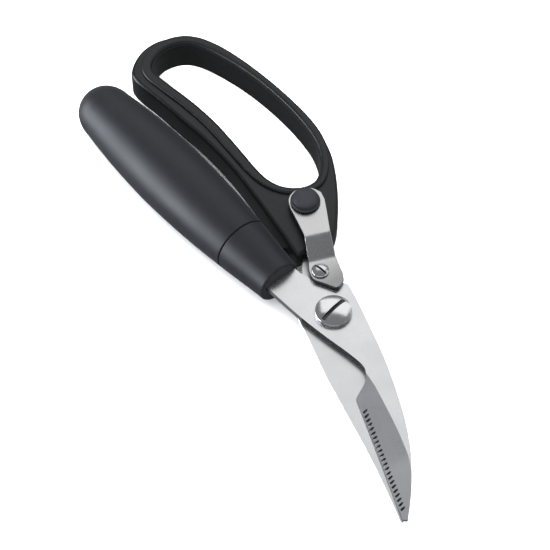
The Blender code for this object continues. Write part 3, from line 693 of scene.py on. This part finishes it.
def serrations(upper, foot):
    """Round-bottomed cuts across the ground face, equally deep, in a row beside the edge.

    The face runs down from the points of an upper line to their foot points on the edge.
    """
    edge = Vector((EDGE_END[0] - HEEL[0], EDGE_END[1] - HEEL[1], 0)).normalized()
    inwards = Vector((-edge.y, edge.x, 0))
    leaning = Matrix.Rotation(SERRATION_LEAN, 3, "Z") @ inwards
    tilt = Vector((leaning.x, leaning.y, SERRATION_TILT)).normalized()
    turn = tilt.to_track_quat("Z", "Y").to_matrix().to_4x4()
    row = bmesh.new()
    for i in range(SERRATION_COUNT):
        run = SERRATION_START + SERRATION_PITCH * i
        shallow = SERRATION_SHALLOW_STEP * max(0, SERRATION_SHALLOWS - i)
        start = Vector((*HEEL, 0)) + edge * run
        width = min(((start.xy - Vector(b)).length, (Vector(a) - Vector(b)).length)
                    for a, b in zip(upper, foot))[1]
        surface = FRONT_TOP - FRONT_SLOPE * (width - SERRATION_INSET)
        middle = start + inwards * SERRATION_INSET + Vector((0, 0, surface - SERRATION_SINK + shallow))
        low = middle - tilt * SERRATION_START_BACK
        bit = turned(SERRATION_BIT, 20)
        bmesh.ops.transform(bit, verts=bit.verts, matrix=Matrix.Translation(low) @ turn)
        mesh = bpy.data.meshes.new("serration")
        bit.to_mesh(mesh)
        row.from_mesh(mesh)
        bpy.data.meshes.remove(mesh)
    # The cuts' faces take the groove's painted shade.
    return make_object("serration_row", row, SHADED_GROOVE)


def make_front_blade():
    blade = make_object("front_blade_steel", prism(front_outline(), SHEAR_GAP, FRONT_TOP), BLADE_STEEL)
    # Painted shade on the lower wall where it passes over the rear blade.
    edge_walls(blade, PAINTED_SHADE_EDGE, start_x=-5, end_x=HEEL[0] + 1)
    upper = smooth([(26.0, -5.4), (34.5, -6.1), (40.3, -7.1), (46.6, -8.4), (53.0, -9.8), (60.0, -11.6),
                    (67.4, -13.9), (73.0, -16.6), (80.0, -20.2), (94.0, -27.6)], 8)
    along = (Vector(EDGE_END) - Vector(HEEL)).normalized()
    edge = [tuple(Vector(HEEL) + along * (Vector(p) - Vector(HEEL)).dot(along)) for p in upper]
    heights = [FRONT_TOP - FRONT_SLOPE * (Vector(a) - Vector(b)).length for a, b in zip(upper, edge)]
    combine(blade, ground_face("grinding", upper, edge, heights, 1),
            drill(PIVOT_HOLE_RADIUS, -1, 5))
    soften(blade, BLADE_ROUNDING)
    apply_modifiers(blade)
    combine(blade, serrations(upper, edge))
    flatten(crisp(blade, 9))
    return show(blade, "barrel_side", "blade_steel", "front_blade")


def make_rear_blade():
    blade = make_object("rear_blade_steel", prism(rear_outline(), REAR_BOTTOM, -SHEAR_GAP), BLADE_STEEL)
    # Painted reflection of the white floor on the walls towards the grip.
    edge_walls(blade, PAINTED_REFLECTION_EDGE, start_x=-20, end_x=100)
    edge = line_points((30.0, -3.8), (97.0, -35.2), 12)
    inner = [(x - REAR_GRIND_WIDTH[0], y - REAR_GRIND_WIDTH[1]) for x, y in edge]
    combine(blade, ground_face("grinding", inner, edge, [REAR_EDGE_HEIGHT] * len(edge), -1),
            drill(PIVOT_HOLE_RADIUS, -5, 1),
            drill(SMALL_HOLE_RADIUS, -5, 1, 32, CATCH_PIVOT))
    soften(blade, BLADE_ROUNDING)
    apply_modifiers(blade)
    flatten(crisp(blade, 9))
    return show(blade, "loop_side", "blade_steel", "rear_blade")


# ---------------------------------------------------------------- screws and nut

def head_profile(radius, low, rim, rise, steps=14):
    """A low round head with a softened rim."""
    ball = (radius ** 2 + rise ** 2) / (2 * rise)
    top = low + rim + rise
    inner = radius - HEAD_SOFTNESS
    profile = [(inner, low), (radius, low + HEAD_SOFTNESS), (radius, low + rim - HEAD_SOFTNESS)]
    for i in range(steps):
        r = inner * (1 - i / steps)
        profile.append((r, top - ball + math.sqrt(ball ** 2 - r ** 2)))
    return profile + [(0, top)]


def slotted_head(name, profile, material, place, slot_size, slot_turn, slot_bottom):
    """A screw turned from a profile, with a slot cut in its head."""
    screw = make_object(name, turned(profile), material, place)
    slot = block(slot_size, (0, 0, slot_bottom + slot_size[2] / 2), slot_turn)
    # The slot's faces take the groove's painted shade.
    combine(screw, make_object("slot", slot, SHADED_GROOVE, place))
    soften(screw, HEAD_ROUNDING, segments=2, angle=40)
    apply_modifiers(screw)
    return crisp(screw, 24)


def make_pivot():
    sleeve_top = PIVOT_HEAD_LOW - GAP
    nut_face = NUT_TOP - NUT_FLANGE
    screw = [(0, NUT_TOP + GAP), (PIVOT_SHANK_RADIUS, NUT_TOP + GAP), (PIVOT_SHANK_RADIUS, PIVOT_HEAD_LOW)]
    screw += head_profile(PIVOT_HEAD_RADIUS, PIVOT_HEAD_LOW, PIVOT_HEAD_RIM, PIVOT_HEAD_RISE)
    nut = [(0, nut_face), (NUT_FACE_RADIUS, nut_face), (NUT_RADIUS, nut_face + NUT_CHAMFER),
           (NUT_RADIUS, NUT_TOP), (NUT_SLEEVE_RADIUS, NUT_TOP), (NUT_SLEEVE_RADIUS, sleeve_top),
           (NUT_BORE_RADIUS, sleeve_top), (NUT_BORE_RADIUS, NUT_TOP), (0, NUT_TOP)]
    flat_radius = WASHER_RADIUS - WASHER_CHAMFER
    washer = [(PIVOT_HOLE_RADIUS, WASHER_LOW), (flat_radius, WASHER_LOW),
              (WASHER_RADIUS, WASHER_LOW + WASHER_CHAMFER), (WASHER_RADIUS, WASHER_TOP - WASHER_CHAMFER),
              (flat_radius, WASHER_TOP), (PIVOT_HOLE_RADIUS, WASHER_TOP)]
    pivot_screw = slotted_head("pivot_screw_steel", screw, PIVOT_STEEL, (0, 0, 0), PIVOT_SLOT,
                               PIVOT_SLOT_TURN, PIVOT_SLOT_BOTTOM)
    show(pivot_screw, "barrel_side", "screw_steel", "pivot_screw")
    pivot_nut = make_object("pivot_nut_steel", turned(nut), PIVOT_STEEL)
    show(crisp(pivot_nut), "barrel_side", "screw_steel", "pivot_nut")
    pivot_washer = make_object("pivot_washer_steel", turned(washer), PIVOT_STEEL)
    show(crisp(pivot_washer), "barrel_side", "screw_steel", "pivot_washer")


def make_catch_screw():
    profile = [(0, REAR_BOTTOM), (CATCH_SHANK_RADIUS, REAR_BOTTOM), (CATCH_SHANK_RADIUS, CATCH_HEAD_LOW)]
    profile += head_profile(CATCH_HEAD_RADIUS, CATCH_HEAD_LOW, CATCH_HEAD_RIM, CATCH_HEAD_RISE)
    screw = slotted_head("catch_screw_steel", profile, CATCH_SCREW_STEEL, (*CATCH_PIVOT, 0),
                         CATCH_SLOT, CATCH_SLOT_TURN, CATCH_SLOT_BOTTOM)
    show(screw, "loop_side", "screw_steel", "catch_screw")


# ---------------------------------------------------------------- barrel grip

def make_barrel_piece(name, profile, material):
    """A profile of (radius, distance from the front) turned round the barrel's axis."""
    bm = turned(profile, 128)
    place = Matrix.Translation((*BARREL_FRONT, 0))
    turn = Matrix.Rotation(BARREL_ANGLE, 4, "Z") @ Matrix.Rotation(-math.pi / 2, 4, "Y")
    bmesh.ops.transform(bm, verts=bm.verts, matrix=place @ turn)
    return make_object(name, bm, material)


def rounded_corner(corner, before, after, radius, steps=4):
    """Points that round a profile's corner, coming from one direction and leaving in another."""
    start = Vector(corner) - Vector(before) * radius
    end = Vector(corner) + Vector(after) * radius
    points = []
    for i in range(steps + 1):
        t = i / steps
        points.append(tuple(start * (1 - t) ** 2 + Vector(corner) * (2 * t * (1 - t)) + end * t ** 2))
    return points


def make_barrel_grip():
    seam = FERRULE_LENGTH + SEAM_GAP
    bore = CORE_RADIUS + GAP
    spigot_end = FERRULE_LENGTH + SPIGOT_LENGTH
    outwards, inwards, backwards = (1, 0), (-1, 0), (0.1, 1)
    ferrule = [(0, 0)]
    ferrule += rounded_corner((barrel_radius(0), 0), outwards, backwards, FRONT_ROUNDING, 6)
    ferrule += [(barrel_radius(a), a) for a in range(3, 22, 3)]
    ferrule += rounded_corner((barrel_radius(FERRULE_LENGTH), FERRULE_LENGTH), backwards, inwards,
                              SEAM_ROUNDING)
    ferrule += [(CORE_RADIUS, FERRULE_LENGTH), (CORE_RADIUS, spigot_end), (0, spigot_end)]
    sleeve = [(0, CORE_END + GAP), (bore, CORE_END + GAP), (bore, seam)]
    sleeve += rounded_corner((barrel_radius(seam), seam), outwards, backwards, SEAM_ROUNDING)
    sleeve += [(barrel_radius(a), a) for a in range(26, int(BUTT_START) + 1, 3)]
    butt_radius = barrel_radius(BUTT_START)
    for i in range(1, BUTT_STEPS + 1):
        turn = math.pi / 2 * i / BUTT_STEPS
        radius = 0 if i == BUTT_STEPS else butt_radius * math.cos(turn) ** BUTT_FULLNESS
        sleeve.append((radius, BUTT_START + (BARREL_LENGTH - BUTT_START) * math.sin(turn)))
    collar = make_barrel_piece("grip_ferrule_rubber", ferrule, GRIP_RUBBER)
    pocket = prism(offset(front_outline(3), GAP), SHEAR_GAP - GAP, FRONT_TOP + GAP)
    combine(collar, make_object("tang_pocket", pocket, GRIP_RUBBER), spring_pocket("ferrule_pocket"))
    show(crisp(collar), "barrel_side", "grip_rubber", "grip_ferrule")
    grip = make_barrel_piece("grip_sleeve_rubber", sleeve, GRIP_RUBBER)
    show(crisp(grip), "barrel_side", "grip_rubber", "grip_sleeve")


# ---------------------------------------------------------------- loop handle

def loop_outline():
    curve = smooth([(NECK_END_X - 0.5, 19.3), (-34.3, 26.2), (-46.5, 34.9), (-59.4, 42.0), (-70.2, 45.4),
                    (-82.0, 46.7), (-102.3, 45.2), (-125.8, 40.9), (-142.2, 35.1), (-150.3, 27.5),
                    (-154.0, 17.5), (-152.4, 7.8), (-146.4, -0.1), (-140.0, -1.9), (-126.0, 0.5),
                    (-112.3, 2.5), (-97.6, 4.7), (-79.0, 5.7), (-60.0, 5.0), (-45.0, 4.0),
                    (NECK_END_X - 2.2, 3.1)], 10)
    return curve + [(NECK_END_X - 1.9, 5.0), (NECK_END_X - 1.9, 12.0)]


def finger_opening():
    return smooth([(-140.0, 7.2), (-130.0, 8.7), (-118.4, 11.2), (-104.0, 13.2), (-88.7, 13.7),
                   (-72.0, 13.7), (-64.2, 15.1), (-58.5, 18.7), (-55.0, 24.5), (-55.3, 30.6),
                   (-61.5, 36.6), (-72.0, 40.8), (-86.5, 41.9), (-104.0, 40.6), (-121.0, 37.2),
                   (-136.5, 31.7), (-144.5, 26.0), (-147.0, 18.0), (-145.0, 11.0)], 10, closed=True)


def lip_widths(opening, outline):
    """How wide the lip is round the opening: a band that thins where the handle is narrow."""
    rim = [Vector(p) for p in outline]
    widths = []
    for point in opening:
        here = Vector(point)
        room = min((here - r).length for r in rim) - LIP_LEDGE
        neck = share_between(point[0], LIP_NECK_START_X, LIP_NECK_END_X)
        wanted = LIP_WIDTH + (LIP_NECK_WIDTH - LIP_WIDTH) * neck
        widths.append(min(room, wanted))
    for _ in range(LIP_SMOOTHING):
        widths = [(widths[i - 1] + w + widths[(i + 1) % len(widths)]) / 3 for i, w in enumerate(widths)]
    return widths


def lip_section(width):
    """Half of the lip's section as (distance from the opening, height): inner wall, crown, outer wall."""
    inner = [(0.0, 0.0), (0.08, 2.0), (0.22, 3.8)]
    crown = [(0.42, 5.3), (0.62, 6.0), (1.0, 6.5), (1.55, 6.75), (1.9, LIP_FRONT)]
    outer = []
    for i in range(7):
        turn = math.radians(15 * i)
        outer.append((width - LIP_CORNER * (1 - math.sin(turn)),
                      LIP_FRONT - LIP_CORNER * (1 - math.cos(turn))))
    return inner + crown + outer + [(width, 4.6)]


def make_lip():
    """The band round the finger opening, swept round it with a rounded section."""
    opening = finger_opening()
    steps = offset(opening, 1.0)
    normals = [Vector(b) - Vector(a) for a, b in zip(opening, steps)]
    columns = []
    for point, normal, width in zip(opening, normals, lip_widths(opening, loop_outline())):
        half = lip_section(width)
        section = half + [(d, LIP_BACK + LIP_FRONT - z) for d, z in reversed(half[1:])]
        columns.append([(point[0] + normal.x * d, point[1] + normal.y * d, z) for d, z in section])
    bm = bmesh.new()
    rings = [[bm.verts.new(column[k]) for column in columns] for k in range(len(columns[0]))]
    bridge(bm, rings + [rings[0]])
    return make_object("lip", bm, HANDLE_PLASTIC)


def make_loop_handle():
    body = filleted_plate(loop_outline(), WEB_BACK, WEB_FRONT, WEB_ROUNDING)
    for v in body.verts:
        nose = NOSE_BACK / WEB_BACK if v.co.z < 0 else NOSE_FRONT / WEB_FRONT
        v.co.z *= neck_share(v.co.x, nose)
    handle = make_object("loop_handle_plastic", body, HANDLE_PLASTIC)
    combine(handle, make_lip(), operation="UNION")
    opening = prism(offset(finger_opening(), OPENING_OVERLAP), -10, 10)
    pocket = prism(offset(rear_outline(3), TANG_CLEARANCE), REAR_BOTTOM - TANG_CLEARANCE, 0)
    combine(handle, make_object("opening", opening, HANDLE_PLASTIC),
            make_object("tang_pocket", pocket, HANDLE_PLASTIC), spring_pocket("neck_pocket"))
    crisp(handle, 40)
    return show(handle, "loop_side", "handle_plastic", "loop_handle")


def neck_share(x, nose):
    """How thick the neck is at x, as a share of the web: it thins to the nose's share."""
    return 1 - (1 - nose) * share_between(x, NOSE_START_X, NECK_END_X)


# ---------------------------------------------------------------- opening spring

def spring_pocket(name):
    """What cuts the spring's pocket in a handle."""
    radius = SPRING_RADIUS + SPRING_WIRE + SPRING_CLEARANCE
    bm = disc(radius, SPRING_LOW_Y - GAP, SPRING_HIGH_Y + GAP, 48)
    bmesh.ops.rotate(bm, verts=bm.verts, matrix=Matrix.Rotation(-math.pi / 2, 3, "X"))
    return make_object(name, bm, HANDLE_PLASTIC, (SPRING_CENTRE[0], 0, SPRING_CENTRE[1]))


def make_spring():
    """The coil, a round wire on a helix, which stretches between the two handles."""
    steps = SPRING_TURNS * SPRING_TURN_STEPS
    rise = SPRING_HIGH_Y - SPRING_LOW_Y - 2 * SPRING_WIRE
    bm = bmesh.new()
    rings = []
    for i in range(steps + 1):
        turn = 2 * math.pi * SPRING_TURNS * i / steps
        outwards = Vector((math.cos(turn), 0, math.sin(turn)))
        centre = outwards * SPRING_RADIUS
        centre.y = SPRING_LOW_Y + SPRING_WIRE + rise * i / steps
        ring = []
        for k in range(SPRING_WIRE_SIDES):
            angle = 2 * math.pi * k / SPRING_WIRE_SIDES
            point = centre + (outwards * math.cos(angle) + Vector((0, 1, 0)) * math.sin(angle)) * SPRING_WIRE
            ring.append(bm.verts.new(point))
        rings.append(ring)
    bm.faces.new(rings[0])
    bm.faces.new(rings[-1])
    bridge(bm, rings)
    # The coil's steel is darkened: painted shade.
    spring = make_object("opening_spring_coil", bm, PAINTED_SHADE_SPRING, (SPRING_CENTRE[0], 0, SPRING_CENTRE[1]))
    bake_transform(spring)
    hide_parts("opening_spring")


# ---------------------------------------------------------------- catch

def lever_outline():
    foot = smooth([(-23.8, 4.8), (-20.0, 2.5), (-16.0, 1.9), (-12.0, 4.2), (-7.9, 6.7)], 8)
    toe = [(-7.7, 8.0), (-8.2, 9.4)]
    back = smooth([(-9.3, 11.5), (-12.1, 13.0), (-15.5, 14.0), (-20.5, 15.4)], 6)
    strap = [(-29.5, 19.1), (-39.3, 24.2), (-43.4, 26.2)]
    end = smooth([(-47.0, 27.0), (-50.6, 25.2), (-53.2, 21.4), (-53.1, 17.0), (-51.0, 13.9),
                  (-47.4, 12.2)], 8)
    return foot + toe + back + strap + end + [(-40.4, 10.8), (-32.9, 9.1)]


def climb(distance):
    """How far up its rise the lever is at a distance: a straight ramp with round bends."""
    bend = CATCH_BEND_REACH
    slope = 1 / (CATCH_BEND_END - CATCH_BEND_START)
    low = distance - CATCH_BEND_START
    high = CATCH_BEND_END - distance
    if low <= -bend:
        return 0.0
    if high <= -bend:
        return 1.0
    if low < bend:
        return slope * (low + bend) ** 2 / (4 * bend)
    if high < bend:
        return 1 - slope * (high + bend) ** 2 / (4 * bend)
    return slope * low


def make_catch_lever():
    bm = prism(lever_outline(), CATCH_FOOT_LOW, CATCH_FOOT_TOP)
    along = Vector((-math.cos(CATCH_BEND_TURN), math.sin(CATCH_BEND_TURN), 0))
    pivot = Vector((*CATCH_PIVOT, 0))
    for bend in (CATCH_BEND_START, CATCH_BEND_END):
        for i in range(CATCH_BEND_CUTS + 1):
            geometry = bm.verts[:] + bm.edges[:] + bm.faces[:]
            reach = 2 * CATCH_BEND_REACH * i / CATCH_BEND_CUTS
            cut_place = pivot + along * (bend - CATCH_BEND_REACH + reach)
            bmesh.ops.bisect_plane(bm, geom=geometry, plane_co=cut_place, plane_no=along)
    for v in bm.verts:
        v.co.z += CATCH_RISE * climb((v.co - pivot).dot(along))
    lever = make_object("catch_lever_steel", bm, CATCH_STEEL)
    # Painted shade on the lever's walls towards the grip.
    edge_walls(lever, PAINTED_SHADE_EDGE, start_x=-60, end_x=0)
    for place in (CATCH_PIVOT, KNOB_CENTRE):
        combine(lever, drill(SMALL_HOLE_RADIUS, 0, 12, 40, place))
    soften(lever, CATCH_ROUNDING, segments=3, angle=30)
    apply_modifiers(lever)
    return show(crisp(lever, 30), "catch", "catch_steel", "catch_lever")


def make_knob():
    low = CATCH_ARM_TOP + GAP
    profile = [(0, 2.4), (1.8, 2.4), (1.8, 0), (5.7, 0), (5.95, 0.12), (6.0, 0.35), (5.97, 0.65),
               (5.8, 0.85), (5.55, 1.0), (5.45, 1.15), (5.4, 1.8), (5.3, 2.2), (5.1, 2.6), (4.75, 2.95),
               (4.2, 3.25), (3.4, 3.48), (2.3, 3.62), (1.1, 3.69), (0, 3.7)]
    knob = make_object("catch_knob_plastic", turned([(r, low + h) for r, h in profile]), KNOB_PLASTIC,
                       (*KNOB_CENTRE, 0))
    show(crisp(knob, 50), "catch", "knob_plastic", "catch_knob")


# ---------------------------------------------------------------- surroundings

def view_axes(azimuth, elevation):
    """Right, up and backwards of a view, given as the model's view angles in degrees."""
    a, e = math.radians(azimuth), math.radians(elevation)
    right = Vector((math.cos(a), math.sin(a), 0))
    back = Vector((math.sin(a) * math.cos(e), -math.cos(a) * math.cos(e), math.sin(e)))
    return right, back.cross(right), back


def look_matrix(right, up, back, place):
    """A world matrix from three axes and a place."""
    matrix = Matrix((right, up, back)).transposed().to_4x4()
    matrix.translation = place
    return matrix


def make_camera():
    right, up, back = view_axes(CAMERA_AZIMUTH, CAMERA_ELEVATION)
    data = bpy.data.cameras.new("camera")
    data.lens = CAMERA_LENS
    data.sensor_width = 36.0
    data.clip_start = 0.01
    data.clip_end = 20.0
    camera = bpy.data.objects.new("camera", data)
    bpy.context.scene.collection.objects.link(camera)
    pivot = Vector((0, 0, SHEAR_HEIGHT * MM))
    place = pivot - right * PIVOT_RIGHT_OF_CENTRE + up * PIVOT_BELOW_CENTRE + back * CAMERA_DISTANCE
    camera.matrix_world = look_matrix(right, up, back, place)
    bpy.context.scene.camera = camera


def make_floor():
    bm = bmesh.new()
    bmesh.ops.create_grid(bm, x_segments=1, y_segments=1, size=FLOOR_HALF_SIZE / MM)
    lowest = CAD_BOX[0][2] / MM - SHEAR_HEIGHT - FLOOR_DROP
    finish = Finish("floor", colour=(0.90, 0.90, 0.90), roughness=0.9, metallic=0.0)
    floor = make_object("floor", bm, finish.material, (0, 0, lowest))
    floor.visible_glossy = False


def make_light(name, azimuth, elevation, distance, size, power, colour=(1, 1, 1), glossy=True):
    """An area light that faces the shears from a direction given as view angles."""
    right, up, back = view_axes(azimuth, elevation)
    data = bpy.data.lights.new(name, "AREA")
    data.shape = "RECTANGLE"
    data.size, data.size_y = size
    data.energy = power
    data.color = colour
    light = bpy.data.objects.new(name, data)
    bpy.context.scene.collection.objects.link(light)
    light.matrix_world = look_matrix(right, up, back, Vector(LIGHT_TARGET) + back * distance)
    light.visible_glossy = glossy
    light.visible_camera = False


def make_lights():
    make_light("back_softbox", 226, 47, distance=0.8, size=(0.95, 0.70), power=1.95)
    make_light("side_softbox", -34, 6, distance=0.75, size=(0.70, 0.42), power=10.5,
               colour=(0.86, 0.93, 1.0))
    make_light("front_fill", 45, 26, distance=0.9, size=(1.3, 0.7), power=1.6)
    make_light("right_fill", 140, 26, distance=0.9, size=(1.2, 0.7), power=1.4)
    make_light("overhead", 0, 88, distance=1.2, size=(1.6, 1.6), power=62, glossy=False)
    world = bpy.data.worlds.new("studio")
    world.use_nodes = True
    tree = world.node_tree
    background = tree.nodes["Background"]
    background.inputs["Color"].default_value = (0.80, 0.82, 0.85, 1)
    split = tree.nodes.new("ShaderNodeSeparateXYZ")
    tree.links.new(tree.nodes.new("ShaderNodeTexCoord").outputs["Generated"], split.inputs[0])
    ramps = [map_range(tree, split.outputs["Z"], *ramp) for ramp in WORLD_RAMPS]
    strength = tree.nodes.new("ShaderNodeMath")
    strength.operation = "MULTIPLY"
    tree.links.new(ramps[0], strength.inputs[0])
    tree.links.new(ramps[1], strength.inputs[1])
    tree.links.new(strength.outputs[0], background.inputs["Strength"])
    bpy.context.scene.world = world
    bpy.context.scene.view_settings.view_transform = "Standard"


def finish_hidden_nodes():
    """CAD nodes whose shape is right keep it and take a finish of their own."""
    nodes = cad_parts
    finishes = {
        "grip_core": CORE_NYLON, "grip_pin_1": CATCH_STEEL, "grip_pin_2": CATCH_STEEL,
        "pivot_spring_washer": PAINTED_SHADE_SPRING, "catch_spring_washer": PAINTED_SHADE_SPRING,
        "catch_bush": CATCH_STEEL, "catch_knob_stud": CATCH_STEEL,
    }
    for name, material in finishes.items():
        for slot in nodes[name].material_slots:
            slot.material = material


make_camera()
make_front_blade()
make_rear_blade()
make_pivot()
make_catch_screw()
make_barrel_grip()
make_loop_handle()
make_spring()
make_catch_lever()
make_knob()
finish_hidden_nodes()
make_floor()
make_lights()
